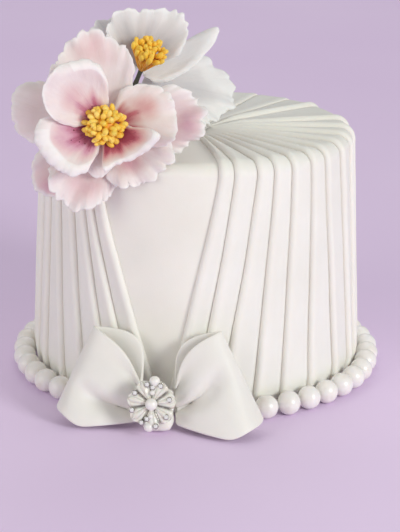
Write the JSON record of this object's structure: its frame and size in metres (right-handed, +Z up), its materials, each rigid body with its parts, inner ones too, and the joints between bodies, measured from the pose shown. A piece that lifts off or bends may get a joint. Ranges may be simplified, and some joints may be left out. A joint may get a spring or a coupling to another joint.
{
  "type": "fondant cake",
  "caption": "Round celebration cake in pleated white fondant with a pearl border, a bow with a brooch and open sugar flowers on top.",
  "frame": {"origin": "on the cake's own axis, at the plane its base stands on", "axes": "+Z up along the cake's axis; -Y towards the viewer, with the bow and the smooth panel in front, turned a little towards -X; +X to the right"},
  "size_m": [0.1903, 0.2078, 0.1906],
  "materials": {
    "white_fondant": "matt rolled sugar paste with a faint satin sheen",
    "pearl_lustre": "sugar pearls with a pearl lustre",
    "bow_fondant": "matt sugar paste, rolled thin and folded",
    "brooch_silver": "polished silver setting with shell petals, pearls and clear stones",
    "petal_blush": "thin sugar petals, white at the rim and dusted pink to deep rose at the middle",
    "petal_white": "thin white sugar petals with a silky surface",
    "stamen_yellow": "golden yellow sugar stamens"
  },
  "bodies": {
    "root": {"cake": "white_fondant", "pleat_right_01": "white_fondant", "pleat_right_02": "white_fondant", "pleat_right_03": "white_fondant", "pleat_right_04": "white_fondant", "pleat_right_05": "white_fondant", "pleat_right_06": "white_fondant", "pleat_right_07": "white_fondant", "pleat_right_08": "white_fondant", "pleat_right_09": "white_fondant", "pleat_right_10": "white_fondant", "pleat_right_11": "white_fondant", "pleat_right_12": "white_fondant", "pleat_right_13": "white_fondant", "pleat_right_14": "white_fondant", "pleat_left_01": "white_fondant", "pleat_left_02": "white_fondant", "pleat_left_03": "white_fondant", "pleat_left_04": "white_fondant", "pleat_left_05": "white_fondant", "pleat_left_06": "white_fondant", "pleat_left_07": "white_fondant", "pleat_left_08": "white_fondant", "pleat_left_09": "white_fondant", "pleat_left_10": "white_fondant", "pleat_left_11": "white_fondant", "pleat_left_12": "white_fondant", "pleat_left_13": "white_fondant", "pleat_left_14": "white_fondant", "pleat_back": "white_fondant", "pearls_1": "pearl_lustre", "pearls_2": "pearl_lustre", "pearls_3": "pearl_lustre", "pearls_4": "pearl_lustre", "bow_left": "bow_fondant", "bow_right": "bow_fondant", "bow_knot": "bow_fondant", "brooch": "brooch_silver", "front_petal_upper_left": "petal_blush", "front_petal_lower_left": "petal_blush", "front_petal_low_small": "petal_blush", "front_petal_lower_right": "petal_blush", "front_petal_right": "petal_blush", "front_petal_top": "petal_blush", "front_petal_far_left": "petal_blush", "front_petal_low_left": "petal_blush", "front_petal_bottom": "petal_blush", "front_petal_low_right": "petal_blush", "front_petal_far_right": "petal_blush", "rear_petal_back": "petal_white", "rear_petal_left": "petal_white", "rear_petal_right": "petal_white", "rear_petal_front": "petal_white", "rear_petal_front_left": "petal_white", "front_stamens": "stamen_yellow", "rear_stamens": "stamen_yellow"}
  },
  "joints": []
}
